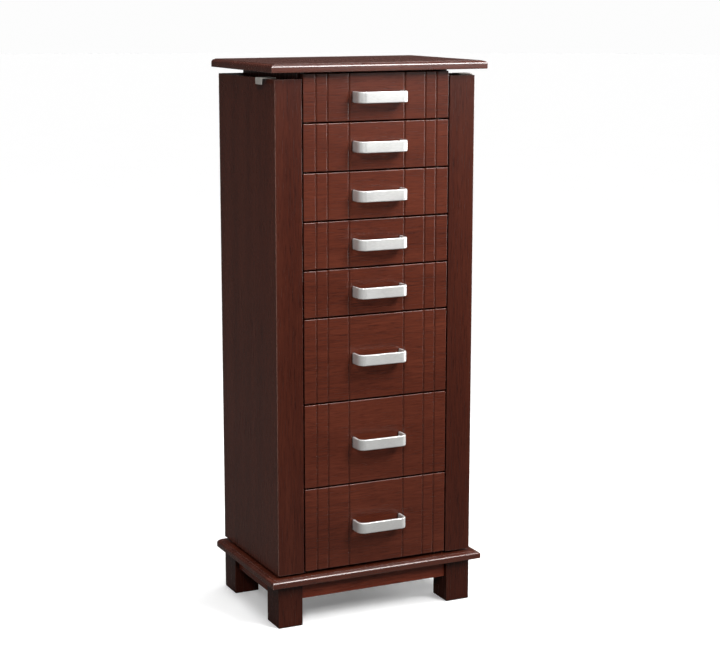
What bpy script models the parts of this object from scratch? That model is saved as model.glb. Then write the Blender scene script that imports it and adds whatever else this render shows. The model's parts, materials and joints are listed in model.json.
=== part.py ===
"""Jewellery chest with drawers: a tall, narrow wooden case on four block feet, with eight drawers, a hinged
side door on each flank and a lift-up lid over a divided tray. Metres, +Z up, front towards -Y, and the origin
on the floor under the middle of the whole chest."""

import math

import bmesh
import bpy
from mathutils import Vector

MM = 0.001
GAP = 0.3 * MM  # between pieces that touch

# The chest
WIDTH = 394 * MM  # over the doors
CASE_DEPTH = 267 * MM  # from the drawer faces to the back
HEIGHT = 1020.5 * MM

# Heights, from the floor up
BASE_BOTTOM = 81.5 * MM
BASE_TOP = 95.5 * MM
DOOR_BOTTOM = 100 * MM
DRAWERS_BOTTOM = 100.5 * MM
DOOR_TOP = 993.5 * MM
DRAWERS_TOP = 1003.5 * MM
LID_BOTTOM = 1005.5 * MM

# Feet and aprons
FOOT_WIDTH = 48 * MM
FOOT_DEPTH = 54 * MM
APRON_BOTTOM = 48.5 * MM
APRON_THICKNESS = 15 * MM
APRON_SETBACK = 8 * MM

# Moulded boards
LID_SIDE_OVERHANG = 14 * MM
LID_FRONT_OVERHANG = 21.5 * MM
BASE_SIDE_OVERHANG = 16.7 * MM
BASE_FRONT_OVERHANG = 15.3 * MM
OVOLO_WIDTH = 6.5 * MM  # quarter round above the board's square face
OVOLO_HEIGHT = 5.5 * MM
STEP_LEDGE = 0.8 * MM  # small step between the round and the board's top
STEP_HEIGHT = 0.9 * MM
LOWER_CHAMFER = 0.8 * MM
ROUND_STEPS = 5

# Case
WALL_OUTSIDE = 148 * MM  # from the middle to a case wall's outer face
WALL_THICKNESS = 16 * MM
BACK_THICKNESS = 12 * MM
RUNNER_THICKNESS = 5 * MM
RUNNER_REACH = 10 * MM
LEDGE_HEIGHT = 5 * MM

# Drawers, from the top down
SHALLOW_DRAWERS = 5
DEEP_DRAWERS = 3
SHALLOW_PITCH = 86.76 * MM
FRONT_SPACING = 2.5 * MM
FRONT_THICKNESS = 16 * MM
FRONT_WIDTH = 286.5 * MM
GROOVE_PLACES = (0.085, 0.163, 0.308)  # from each edge, as shares of the front's width
GROOVE_DEPTH = 2.2 * MM
BOX_LENGTH = 222 * MM
BOX_WALL = 7 * MM
BOX_FLOOR = 4 * MM
BOX_RISE = 8 * MM  # box floor above the front's lower edge
BOX_TOP_SETBACK = 16 * MM  # box top below the front's upper edge
BOX_SIDE_CLEARANCE = 1 * MM

# Pulls
PULL_WIDTH = 98 * MM
PULL_REACH = 33 * MM
PULL_HEIGHT = 20 * MM
PULL_THICKNESS = 4.5 * MM
PULL_CORNER = 14 * MM

# Tray under the lid
TRAY_HEIGHT = 36 * MM
TRAY_TOP = 1000.5 * MM
TRAY_WALL = 6 * MM
TRAY_FLOOR = 4 * MM
TRAY_RING_ROW = 84 * MM  # depth of the front compartment
TRAY_SMALL_COLUMNS = 3

# Doors
DOOR_BOARD = 16 * MM
PILASTER_WIDTH = 51.5 * MM
TAB_SETBACK = 30 * MM  # finger pull behind the front
TAB_LENGTH = 28 * MM
TAB_OUTREACH = 12 * MM
TAB_DROP = 12 * MM
TAB_THICKNESS = 1.8 * MM
TAB_BEND = 2.4 * MM
RAIL_HEIGHT = 14 * MM
RAIL_THICKNESS = 8 * MM
RAIL_LENGTH = 170 * MM
RAIL_TOP_SETBACK = 26 * MM
HOOKS = 5
HOOK_RADIUS = 2 * MM
HOOK_REACH = 17 * MM
HOOK_RISE = math.radians(25)
CATCH_SIZE = (12 * MM, 40 * MM, 14 * MM)

# Hinges
KNUCKLE_RADIUS = 3 * MM
LEAF_THICKNESS = 1.5 * MM
DOOR_LEAF_WIDTH = 14.5 * MM
CASE_LEAF_WIDTH = 20 * MM
DOOR_HINGE_HEIGHT = 60 * MM
DOOR_HINGE_INSET = 110 * MM  # hinge middle from the door's top and bottom
DOOR_KNUCKLES = 3
LID_HINGE_LENGTH = 280 * MM
LID_KNUCKLES = 7
LID_LEAF_WIDTH = 13 * MM
KNUCKLE_CLEARANCE = 0.5 * MM

# Mirror
MIRROR_WIDTH = 226 * MM
MIRROR_DEPTH = 200 * MM
MIRROR_THICKNESS = 3 * MM

# Worked out from the sizes above
HALF = WIDTH / 2
HINGE_REACH = GAP + 2 * KNUCKLE_RADIUS
TOTAL_DEPTH = PULL_REACH + CASE_DEPTH + HINGE_REACH
FRONT = PULL_REACH - TOTAL_DEPTH / 2
BACK = FRONT + CASE_DEPTH
PILASTER_INSIDE = HALF - PILASTER_WIDTH
DOOR_INSIDE = HALF - DOOR_BOARD
WALL_INSIDE = WALL_OUTSIDE - WALL_THICKNESS
BEHIND_FRONTS = FRONT + FRONT_THICKNESS + GAP
BACK_BOARD_FRONT = BACK - BACK_THICKNESS
BACK_BOARD_HALF = DOOR_INSIDE - GAP
HINGE_X = DOOR_INSIDE - GAP / 2
HINGE_Y = BACK + GAP + KNUCKLE_RADIUS
LID_HINGE_Z = LID_BOTTOM - GAP / 2
DEEP_PITCH = (DRAWERS_TOP - DRAWERS_BOTTOM - SHALLOW_DRAWERS * SHALLOW_PITCH) / DEEP_DRAWERS
BOX_HALF = WALL_INSIDE - GAP - RUNNER_THICKNESS - BOX_SIDE_CLEARANCE

# sRGB colours as linear values
CHERRY = (0.060, 0.014, 0.009)
CHERRY_FRONT = (0.105, 0.026, 0.018)
CHERRY_TOP = (0.120, 0.045, 0.034)
BIRCH = (0.45, 0.31, 0.19)
PULL_WHITE = (0.86, 0.87, 0.88)
STEEL = (0.45, 0.43, 0.40)
NICKEL = (0.55, 0.53, 0.50)
MAGNET = (0.02, 0.02, 0.02)
SILVERED = (0.90, 0.92, 0.93)


def start_scene():
    for obj in list(bpy.data.objects):
        bpy.data.objects.remove(obj)
    collections = {}
    for name in ("jewellery_chest", "cutters"):
        collections[name] = bpy.data.collections.new(name)
        bpy.context.scene.collection.children.link(collections[name])
    return collections


COLLECTIONS = start_scene()


def body(name, place):
    """An empty on the body's joint axis, which its pieces hang from."""
    empty = bpy.data.objects.new(name + "_axis", None)
    empty.location = place
    COLLECTIONS["jewellery_chest"].objects.link(empty)
    return empty


def paint(obj, colour, roughness, metallic=0.0):
    material = bpy.data.materials.new(obj.name)
    material.use_nodes = True
    shader = material.node_tree.nodes["Principled BSDF"]
    shader.inputs["Base Color"].default_value = (*colour, 1.0)
    shader.inputs["Roughness"].default_value = roughness
    shader.inputs["Metallic"].default_value = metallic
    obj.data.materials.clear()
    obj.data.materials.append(material)


def wood(obj, colour=CHERRY):
    paint(obj, colour, 0.4)


def metal(obj, colour=NICKEL):
    paint(obj, colour, 0.3, 1.0)


def attach(obj, owner, centre):
    COLLECTIONS["jewellery_chest"].objects.link(obj)
    obj.parent = owner
    obj.location = Vector(centre) - owner.location


def helper(obj):
    """A shape that cuts or joins another and isn't a piece itself."""
    COLLECTIONS["cutters"].objects.link(obj)
    obj.hide_render = True
    obj.display_type = "WIRE"
    return obj


def block_mesh(name, size):
    mesh = bpy.data.meshes.new(name)
    bm = bmesh.new()
    bmesh.ops.create_cube(bm, size=1.0)
    bmesh.ops.scale(bm, vec=size, verts=bm.verts)
    bm.to_mesh(mesh)
    bm.free()
    return mesh


def block(name, owner, low, high, bevel=0.6 * MM):
    low, high = Vector(low), Vector(high)
    obj = bpy.data.objects.new(name, block_mesh(name, high - low))
    attach(obj, owner, (low + high) / 2)
    if bevel:
        soften(obj, bevel)
    return obj


def helper_block(name, low, high):
    low, high = Vector(low), Vector(high)
    obj = helper(bpy.data.objects.new(name, block_mesh(name, high - low)))
    obj.location = (low + high) / 2
    return obj


def soften(obj, width, segments=1, over=40):
    bevel = obj.modifiers.new("soft_edges", "BEVEL")
    bevel.width = width
    bevel.segments = segments
    bevel.limit_method = "ANGLE"
    bevel.angle_limit = math.radians(over)
    return bevel


def combine(obj, other, operation):
    boolean = obj.modifiers.new(operation.lower(), "BOOLEAN")
    boolean.object = other
    boolean.operation = operation
    boolean.solver = "EXACT"


def rounded(corners, radius):
    """An open path through right-angled corners, with each inner corner rounded."""
    path = [Vector(corners[0])]
    for before, here, after in zip(corners, corners[1:], corners[2:]):
        here = Vector(here)
        back = (Vector(before) - here).normalized()
        ahead = (Vector(after) - here).normalized()
        centre = here + (back + ahead) * radius
        for step in range(ROUND_STEPS + 1):
            turn = math.radians(90) * step / ROUND_STEPS
            path.append(centre - ahead * radius * math.cos(turn) - back * radius * math.sin(turn))
    path.append(Vector(corners[-1]))
    return path


TURNS = {
    "plan": (0, 0, 0),  # outline in X and Y
    "front": (math.radians(90), 0, 0),  # outline in X and Z
}


def outline_solid(name, owner, outline, view, low, high):
    """A flat outline with thickness, from low to high along the axis that its view looks along."""
    curve = bpy.data.curves.new(name, "CURVE")
    curve.dimensions = "2D"
    curve.fill_mode = "BOTH"
    curve.extrude = (high - low) / 2
    spline = curve.splines.new("POLY")
    spline.points.add(len(outline) - 1)
    for point, (across, up) in zip(spline.points, outline):
        point.co = (across, up, 0, 1)
    spline.use_cyclic_u = True
    guide = bpy.data.objects.new(name + "_outline", curve)
    COLLECTIONS["cutters"].objects.link(guide)
    depsgraph = bpy.context.evaluated_depsgraph_get()
    mesh = bpy.data.meshes.new_from_object(guide.evaluated_get(depsgraph))
    bpy.data.objects.remove(guide)
    bm = bmesh.new()
    bm.from_mesh(mesh)
    bmesh.ops.remove_doubles(bm, verts=bm.verts, dist=0.001 * MM)
    bmesh.ops.dissolve_limit(bm, angle_limit=math.radians(1), verts=bm.verts, edges=bm.edges)
    bm.to_mesh(mesh)
    bm.free()
    mesh.name = name
    obj = bpy.data.objects.new(name, mesh)
    middle = (low + high) / 2
    attach(obj, owner, (0, 0, middle) if view == "plan" else (0, middle, 0))
    obj.rotation_euler = TURNS[view]
    return obj


def edge_profile(thickness):
    """(inset, height) from the bottom of a moulded edge to its top: square face, quarter round, step."""
    round_top = thickness - STEP_HEIGHT
    profile = [(0, LOWER_CHAMFER)]
    for step in range(ROUND_STEPS + 1):
        turn = math.radians(90) * step / ROUND_STEPS
        inset = OVOLO_WIDTH * (1 - math.cos(turn))
        profile.append((inset, round_top - OVOLO_HEIGHT * (1 - math.sin(turn))))
    profile.append((OVOLO_WIDTH + STEP_LEDGE, round_top))
    profile.append((OVOLO_WIDTH + STEP_LEDGE, thickness))
    return profile


def moulded_board(name, owner, half_width, front, bottom, top):
    """A board with the moulding on its front and sides and a plain back edge."""
    bm = bmesh.new()
    bmesh.ops.create_grid(bm, x_segments=1, y_segments=1, size=0.5)
    base = Vector((0, (front + BACK) / 2, bottom))

    def set_ring(verts, inset, height):
        for vert in verts:
            side = math.copysign(1, vert.co.x)
            at_front = vert.co.y < 0
            edge = front + inset if at_front else BACK
            vert.co = (side * (half_width - inset), edge - base.y, height)

    bottom_face = top_face = bm.faces[:][0]
    set_ring(top_face.verts, LOWER_CHAMFER, 0)
    for inset, height in edge_profile(top - bottom):
        raised = bmesh.ops.extrude_face_region(bm, geom=[top_face])
        if top_face != bottom_face:
            bmesh.ops.delete(bm, geom=[top_face], context="FACES_ONLY")
        top_face = [part for part in raised["geom"] if isinstance(part, bmesh.types.BMFace)][0]
        set_ring(top_face.verts, inset, height)
    bmesh.ops.recalc_face_normals(bm, faces=bm.faces)
    mesh = bpy.data.meshes.new(name)
    bm.to_mesh(mesh)
    bm.free()
    obj = bpy.data.objects.new(name, mesh)
    attach(obj, owner, base)
    return obj


def open_box(name, owner, low, high, wall, floor):
    """A box that is open at the top, sunk into a solid block."""
    low, high = Vector(low), Vector(high)
    size = high - low
    bm = bmesh.new()
    bmesh.ops.create_cube(bm, size=1.0)
    bmesh.ops.scale(bm, vec=size, verts=bm.verts)
    top = max(bm.faces, key=lambda face: face.calc_center_median().z)
    bmesh.ops.inset_region(bm, faces=[top], thickness=wall)
    sunk = bmesh.ops.extrude_face_region(bm, geom=[top])
    bmesh.ops.delete(bm, geom=[top], context="FACES_ONLY")
    verts = [part for part in sunk["geom"] if isinstance(part, bmesh.types.BMVert)]
    bmesh.ops.translate(bm, vec=(0, 0, floor - size.z), verts=verts)
    bmesh.ops.recalc_face_normals(bm, faces=bm.faces)
    mesh = bpy.data.meshes.new(name)
    bm.to_mesh(mesh)
    bm.free()
    obj = bpy.data.objects.new(name, mesh)
    attach(obj, owner, (low + high) / 2)
    soften(obj, 0.5 * MM)
    return obj


def make_feet(case):
    for depth_name, low_y in (("front", FRONT), ("back", BACK - FOOT_DEPTH)):
        for side_name, low_x in (("left", -HALF), ("right", HALF - FOOT_WIDTH)):
            foot = block(
                f"foot_{depth_name}_{side_name}",
                case,
                (low_x, low_y, 0),
                (low_x + FOOT_WIDTH, low_y + FOOT_DEPTH, BASE_BOTTOM - GAP),
                1.2 * MM,
            )
            wood(foot)


def make_aprons(case):
    inner = HALF - FOOT_WIDTH - GAP
    front = FRONT + APRON_SETBACK
    top = BASE_BOTTOM - GAP
    apron = block(
        "apron_front", case, (-inner, front, APRON_BOTTOM), (inner, front + APRON_THICKNESS, top)
    )
    wood(apron)
    for side_name, outer in (("left", -HALF + APRON_SETBACK), ("right", HALF - APRON_SETBACK)):
        inside = outer - math.copysign(APRON_THICKNESS, outer)
        apron = block(
            f"apron_{side_name}",
            case,
            (min(outer, inside), FRONT + FOOT_DEPTH + GAP, APRON_BOTTOM),
            (max(outer, inside), BACK - FOOT_DEPTH - GAP, top),
        )
        wood(apron)


def make_base_board(case):
    half_width = HALF + BASE_SIDE_OVERHANG
    board = moulded_board("base_board", case, half_width, FRONT - BASE_FRONT_OVERHANG, BASE_BOTTOM, BASE_TOP)
    wood(board)


def make_case_walls(case):
    for side_name, side in (("left", -1), ("right", 1)):
        edges = sorted((side * WALL_INSIDE, side * WALL_OUTSIDE))
        wall = block(
            f"case_wall_{side_name}",
            case,
            (edges[0], BEHIND_FRONTS, BASE_TOP + GAP),
            (edges[1], BACK_BOARD_FRONT - GAP, LID_BOTTOM - GAP),
        )
        wood(wall)


def make_back_board(case):
    """Lower beside the case walls than between them."""
    shoulder, top, bottom = DOOR_TOP, LID_BOTTOM - GAP, BASE_TOP + GAP
    outline = [
        (-BACK_BOARD_HALF, bottom),
        (BACK_BOARD_HALF, bottom),
        (BACK_BOARD_HALF, shoulder),
        (WALL_OUTSIDE, shoulder),
        (WALL_OUTSIDE, top),
        (-WALL_OUTSIDE, top),
        (-WALL_OUTSIDE, shoulder),
        (-BACK_BOARD_HALF, shoulder),
    ]
    board = outline_solid("back_board", case, outline, "front", BACK_BOARD_FRONT, BACK)
    soften(board, 0.6 * MM)
    wood(board)


def drawer_levels():
    """(lower edge, height) of each front, from the top drawer down."""
    levels = []
    top = DRAWERS_TOP
    for pitch in [SHALLOW_PITCH] * SHALLOW_DRAWERS + [DEEP_PITCH] * DEEP_DRAWERS:
        levels.append((top - pitch + FRONT_SPACING / 2, pitch - FRONT_SPACING))
        top -= pitch
    return levels


def make_runner_ladders(case):
    """A thin board on each case wall, with a ledge under every drawer box."""
    outside = WALL_INSIDE - GAP
    inside = outside - RUNNER_THICKNESS
    ledge_inside = inside - RUNNER_REACH
    tips = [(inside, BASE_TOP + GAP)]
    for low, _ in reversed(drawer_levels()):
        ledge_top = low + BOX_RISE - GAP
        tips += [
            (inside, ledge_top - LEDGE_HEIGHT),
            (ledge_inside, ledge_top - LEDGE_HEIGHT),
            (ledge_inside, ledge_top),
            (inside, ledge_top),
        ]
    top = TRAY_TOP - TRAY_HEIGHT - 2 * GAP
    tips += [(inside, top), (outside, top), (outside, BASE_TOP + GAP)]
    for side_name, side in (("left", -1), ("right", 1)):
        outline = [(side * across, up) for across, up in tips]
        ladder = outline_solid(
            f"runner_ladder_{side_name}", case, outline, "front", BEHIND_FRONTS, BACK_BOARD_FRONT - GAP
        )
        wood(ladder, BIRCH)


def make_tray(case):
    half = WALL_INSIDE - GAP
    front, back = BEHIND_FRONTS, BACK_BOARD_FRONT - GAP
    floor = TRAY_TOP - TRAY_HEIGHT
    tray = block("top_tray", case, (-half, front, floor), (half, back, TRAY_TOP))
    row_back = front + TRAY_WALL + TRAY_RING_ROW
    pockets = [(-half + TRAY_WALL, half - TRAY_WALL, front + TRAY_WALL, row_back)]
    pitch = (2 * half - TRAY_WALL) / TRAY_SMALL_COLUMNS
    for column in range(TRAY_SMALL_COLUMNS):
        left = -half + TRAY_WALL + column * pitch
        pockets.append((left, left + pitch - TRAY_WALL, row_back + TRAY_WALL, back - TRAY_WALL))
    for number, (left, right, near, far) in enumerate(pockets, 1):
        pocket = helper_block(
            f"tray_pocket_{number}",
            (left, near, floor + TRAY_FLOOR),
            (right, far, TRAY_TOP + TRAY_FLOOR),
        )
        combine(tray, pocket, "DIFFERENCE")
    wood(tray, BIRCH)


def make_catches(case):
    """A magnetic catch on each case wall, behind the pilaster."""
    width, length, height = CATCH_SIZE
    front = FRONT + DOOR_BOARD + GAP
    middle = (DOOR_TOP + DOOR_BOTTOM) / 2
    for side_name, side in (("left", -1), ("right", 1)):
        edges = sorted((side * (WALL_OUTSIDE + GAP), side * (WALL_OUTSIDE + GAP + width)))
        catch = block(
            f"door_catch_{side_name}",
            case,
            (edges[0], front, middle - height / 2),
            (edges[1], front + length, middle + height / 2),
        )
        paint(catch, MAGNET, 0.5)


def make_groove_cutter():
    """Six square bars on edge, whose corners plough the V-grooves of every drawer front at once."""
    bm = bmesh.new()
    middle = (DRAWERS_TOP + DRAWERS_BOTTOM) / 2
    for share in GROOVE_PLACES:
        for side in (-1, 1):
            bar = bmesh.ops.create_cone(
                bm,
                cap_ends=True,
                segments=4,
                radius1=GROOVE_DEPTH,
                radius2=GROOVE_DEPTH,
                depth=DRAWERS_TOP - DRAWERS_BOTTOM + 40 * MM,
            )
            bmesh.ops.translate(bm, vec=(side * (0.5 - share) * FRONT_WIDTH, 0, 0), verts=bar["verts"])
    mesh = bpy.data.meshes.new("groove_bars")
    bm.to_mesh(mesh)
    bm.free()
    cutter = helper(bpy.data.objects.new("groove_bars", mesh))
    cutter.location = (0, FRONT, middle)
    return cutter


def make_drawer_front(number, drawer, low, height, groove_bars):
    front = block(
        f"drawer_{number}_front",
        drawer,
        (-FRONT_WIDTH / 2, FRONT, low),
        (FRONT_WIDTH / 2, FRONT + FRONT_THICKNESS, low + height),
        1.2 * MM,
    )
    combine(front, groove_bars, "DIFFERENCE")
    wood(front, CHERRY_FRONT)


def make_drawer_box(number, drawer, low, height):
    bottom = low + BOX_RISE
    top = low + height - BOX_TOP_SETBACK
    if number == 1:  # the tray lies over this one
        top = TRAY_TOP - TRAY_HEIGHT - 4 * MM
    box = open_box(
        f"drawer_{number}_box",
        drawer,
        (-BOX_HALF, BEHIND_FRONTS, bottom),
        (BOX_HALF, BEHIND_FRONTS + BOX_LENGTH, top),
        BOX_WALL,
        BOX_FLOOR,
    )
    wood(box, BIRCH)


def make_pull(number, drawer, low, height):
    """A flat band bent twice, standing out from the front."""
    half, near, far = PULL_WIDTH / 2, FRONT - GAP, FRONT - PULL_REACH
    outer = [(-half, near), (-half, far), (half, far), (half, near)]
    inner_half = half - PULL_THICKNESS
    inner_far = far + PULL_THICKNESS
    inner = [(inner_half, near), (inner_half, inner_far), (-inner_half, inner_far), (-inner_half, near)]
    outline = rounded(outer, PULL_CORNER) + rounded(inner, PULL_CORNER - PULL_THICKNESS)
    middle = low + height / 2
    pull = outline_solid(
        f"drawer_{number}_pull", drawer, outline, "plan", middle - PULL_HEIGHT / 2, middle + PULL_HEIGHT / 2
    )
    soften(pull, 1.0 * MM)
    paint(pull, PULL_WHITE, 0.35)


def make_drawers():
    groove_bars = make_groove_cutter()
    for number, (low, height) in enumerate(drawer_levels(), 1):
        drawer = body(f"drawer_{number}", (0, FRONT, low + height / 2))
        make_drawer_front(number, drawer, low, height, groove_bars)
        make_drawer_box(number, drawer, low, height)
        make_pull(number, drawer, low, height)


def make_pilaster(side_name, side, door):
    """Mitred to the side panel, so that no joint shows on either face."""
    outline = [
        (HALF, FRONT),
        (PILASTER_INSIDE, FRONT),
        (PILASTER_INSIDE, FRONT + DOOR_BOARD),
        (DOOR_INSIDE, FRONT + DOOR_BOARD),
    ]
    outline = [(side * across, along) for across, along in outline]
    pilaster = outline_solid(f"{side_name}_door_pilaster", door, outline, "plan", DOOR_BOTTOM, DOOR_TOP)
    soften(pilaster, 0.5 * MM)
    wood(pilaster)


def make_side_panel(side_name, side, door):
    step = 1.5 * GAP
    outline = [
        (HALF, FRONT + step),
        (DOOR_INSIDE, FRONT + DOOR_BOARD + step),
        (DOOR_INSIDE, BACK),
        (HALF, BACK),
    ]
    outline = [(side * across, along) for across, along in outline]
    panel = outline_solid(f"{side_name}_door_panel", door, outline, "plan", DOOR_BOTTOM, DOOR_TOP)
    soften(panel, 0.5 * MM)
    wood(panel)


def make_finger_pull(side_name, side, door):
    """A steel strip over the door's top edge, folded down clear of its face."""
    low = DOOR_TOP + GAP
    top = low + TAB_THICKNESS
    outside = HALF + TAB_OUTREACH
    tip = top - TAB_DROP
    outer = rounded([(DOOR_INSIDE, top), (outside, top), (outside, tip)], TAB_BEND)
    within = outside - TAB_THICKNESS
    inner = rounded([(within, tip), (within, low), (DOOR_INSIDE, low)], TAB_BEND - TAB_THICKNESS)
    outline = [(side * point.x, point.y) for point in outer + inner]
    near = FRONT + TAB_SETBACK
    tab = outline_solid(f"{side_name}_door_finger_pull", door, outline, "front", near, near + TAB_LENGTH)
    metal(tab, STEEL)


def make_hook_rail(side_name, side, door):
    face = DOOR_INSIDE - GAP
    middle_y = (FRONT + DOOR_BOARD + BACK_BOARD_FRONT) / 2
    top = DOOR_TOP - RAIL_TOP_SETBACK
    edges = sorted((side * face, side * (face - RAIL_THICKNESS)))
    rail = block(
        f"{side_name}_door_hook_rail",
        door,
        (edges[0], middle_y - RAIL_LENGTH / 2, top - RAIL_HEIGHT),
        (edges[1], middle_y + RAIL_LENGTH / 2, top),
    )
    pegs = bmesh.new()
    for number in range(HOOKS):
        peg = bmesh.ops.create_cone(
            pegs, cap_ends=True, segments=12, radius1=HOOK_RADIUS, radius2=HOOK_RADIUS, depth=HOOK_REACH
        )
        along = (number + 0.5) / HOOKS * RAIL_LENGTH - RAIL_LENGTH / 2
        bmesh.ops.translate(pegs, vec=(0, along, 0), verts=peg["verts"])
    mesh = bpy.data.meshes.new(f"{side_name}_pegs")
    pegs.to_mesh(mesh)
    pegs.free()
    helper_pegs = helper(bpy.data.objects.new(f"{side_name}_pegs", mesh))
    helper_pegs.rotation_euler = (0, -side * (math.radians(90) - HOOK_RISE), 0)
    helper_pegs.location = (side * (face - RAIL_THICKNESS - 5 * MM), middle_y, top - RAIL_HEIGHT / 2)
    combine(rail, helper_pegs, "UNION")
    metal(rail)


def leaf_outline(leaf_width):
    """A leaf that runs away from its knuckle along +X, with the pin at the origin."""
    low = -KNUCKLE_RADIUS
    start = math.asin((LEAF_THICKNESS - KNUCKLE_RADIUS) / KNUCKLE_RADIUS)
    steps = 15
    sweep = math.radians(270) - start
    outline = [(leaf_width, low), (leaf_width, low + LEAF_THICKNESS)]
    for step in range(steps + 1):
        turn = start + sweep * step / steps
        outline.append((KNUCKLE_RADIUS * math.cos(turn), KNUCKLE_RADIUS * math.sin(turn)))
    return outline


def knuckle_spans(low, high, knuckles, keep):
    """Stretches of the pin that the other leaf's knuckles take: keep is 0 or 1."""
    pitch = (high - low) / knuckles
    margin = GAP / 2
    spans = []
    for number in range(knuckles):
        if number % 2 != keep:
            start = low + number * pitch - (margin if number else 1 * MM)
            end = low + (number + 1) * pitch + (margin if number < knuckles - 1 else 1 * MM)
            spans.append((start, end))
    return spans


def make_door_hinge_leaf(name, owner, side, away, leaf_width, middle, keep):
    """away is 1 for the door's leaf, which runs outwards, and -1 for the case's."""
    outline = [
        (side * (HINGE_X + away * across), HINGE_Y + along) for across, along in leaf_outline(leaf_width)
    ]
    low, high = middle - DOOR_HINGE_HEIGHT / 2, middle + DOOR_HINGE_HEIGHT / 2
    leaf = outline_solid(name, owner, outline, "plan", low, high)
    clear = KNUCKLE_RADIUS + KNUCKLE_CLEARANCE
    for number, (start, end) in enumerate(knuckle_spans(low, high, DOOR_KNUCKLES, keep), 1):
        notch = helper_block(
            f"{name}_notch_{number}",
            (side * HINGE_X - clear, HINGE_Y - clear, start),
            (side * HINGE_X + clear, HINGE_Y + clear, end),
        )
        combine(leaf, notch, "DIFFERENCE")
    metal(leaf)


def make_door_hinges(side_name, side, door, case):
    for place, middle in (
        ("upper", DOOR_TOP - DOOR_HINGE_INSET),
        ("lower", DOOR_BOTTOM + DOOR_HINGE_INSET),
    ):
        name = f"{side_name}_{place}_hinge"
        make_door_hinge_leaf(f"{name}_case_leaf", case, side, -1, CASE_LEAF_WIDTH, middle, 0)
        make_door_hinge_leaf(f"{name}_door_leaf", door, side, 1, DOOR_LEAF_WIDTH, middle, 1)


def make_doors(case):
    for side_name, side in (("left", -1), ("right", 1)):
        door = body(f"{side_name}_door", (side * HINGE_X, HINGE_Y, (DOOR_BOTTOM + DOOR_TOP) / 2))
        make_pilaster(side_name, side, door)
        make_side_panel(side_name, side, door)
        make_finger_pull(side_name, side, door)
        make_hook_rail(side_name, side, door)
        make_door_hinges(side_name, side, door, case)


def make_lid_hinge_leaf(name, owner, up, leaf_width, keep):
    """A continuous hinge's leaf: up is 1 for the lid's leaf and -1 for the case's."""
    half = LID_HINGE_LENGTH / 2
    outline = [(along, up * across) for across, along in leaf_outline(leaf_width)]
    leaf = outline_solid(name, owner, outline, "plan", -half, half)
    leaf.rotation_euler = (math.radians(90), 0, math.radians(90))
    leaf.location = Vector((0, HINGE_Y, LID_HINGE_Z)) - owner.location
    clear = KNUCKLE_RADIUS + KNUCKLE_CLEARANCE
    for number, (start, end) in enumerate(knuckle_spans(-half, half, LID_KNUCKLES, keep), 1):
        notch = helper_block(
            f"{name}_notch_{number}",
            (start, HINGE_Y - clear, LID_HINGE_Z - clear),
            (end, HINGE_Y + clear, LID_HINGE_Z + clear),
        )
        combine(leaf, notch, "DIFFERENCE")
    metal(leaf)


def make_lid(case):
    lid = body("lid", (0, HINGE_Y, LID_HINGE_Z))
    half_width = HALF + LID_SIDE_OVERHANG
    board = moulded_board("lid_board", lid, half_width, FRONT - LID_FRONT_OVERHANG, LID_BOTTOM, HEIGHT)
    wood(board, CHERRY_TOP)
    middle = (BEHIND_FRONTS + BACK_BOARD_FRONT) / 2
    mirror = block(
        "lid_mirror",
        lid,
        (-MIRROR_WIDTH / 2, middle - MIRROR_DEPTH / 2, LID_BOTTOM - GAP - MIRROR_THICKNESS),
        (MIRROR_WIDTH / 2, middle + MIRROR_DEPTH / 2, LID_BOTTOM - GAP),
    )
    paint(mirror, SILVERED, 0.02, 1.0)
    make_lid_hinge_leaf("lid_hinge_case_leaf", case, -1, LID_LEAF_WIDTH, 0)
    make_lid_hinge_leaf("lid_hinge_lid_leaf", lid, 1, LID_LEAF_WIDTH, 1)


def main():
    case = body("case", (0, 0, 0))
    make_feet(case)
    make_aprons(case)
    make_base_board(case)
    make_case_walls(case)
    make_back_board(case)
    make_runner_ladders(case)
    make_tray(case)
    make_catches(case)
    make_drawers()
    make_doors(case)
    make_lid(case)


main()
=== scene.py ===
"""Looks of the jewellery chest: stained cherry boards, satin band pulls, flocked drawers and tray pockets,
velvet ring rolls and door linings, a bevelled mirror and hinge screws, in plain soft studio light. Lengths
are in metres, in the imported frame."""

import json
import math

import bmesh
import bpy
from mathutils import Matrix, Vector


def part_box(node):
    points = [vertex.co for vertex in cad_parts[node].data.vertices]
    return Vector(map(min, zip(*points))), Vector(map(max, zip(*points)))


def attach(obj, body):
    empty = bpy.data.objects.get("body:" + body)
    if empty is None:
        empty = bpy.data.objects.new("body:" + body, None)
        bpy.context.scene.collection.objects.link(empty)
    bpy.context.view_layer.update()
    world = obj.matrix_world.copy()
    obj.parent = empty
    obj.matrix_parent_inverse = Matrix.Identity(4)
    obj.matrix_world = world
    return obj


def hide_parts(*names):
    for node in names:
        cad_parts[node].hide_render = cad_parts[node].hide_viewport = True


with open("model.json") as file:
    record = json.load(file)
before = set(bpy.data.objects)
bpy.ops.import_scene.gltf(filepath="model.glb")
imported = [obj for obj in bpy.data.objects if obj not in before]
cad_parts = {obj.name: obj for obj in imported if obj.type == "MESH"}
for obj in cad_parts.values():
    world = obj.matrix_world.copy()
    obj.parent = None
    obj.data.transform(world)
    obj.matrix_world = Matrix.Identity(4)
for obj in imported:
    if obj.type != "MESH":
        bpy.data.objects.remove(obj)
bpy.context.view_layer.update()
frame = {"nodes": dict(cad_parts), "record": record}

MM = 0.001
GAP = 0.3 * MM
SAME_PLACE = 0.1 * MM  # points closer than this lie in one plane
QUARTER = math.radians(90)

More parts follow.
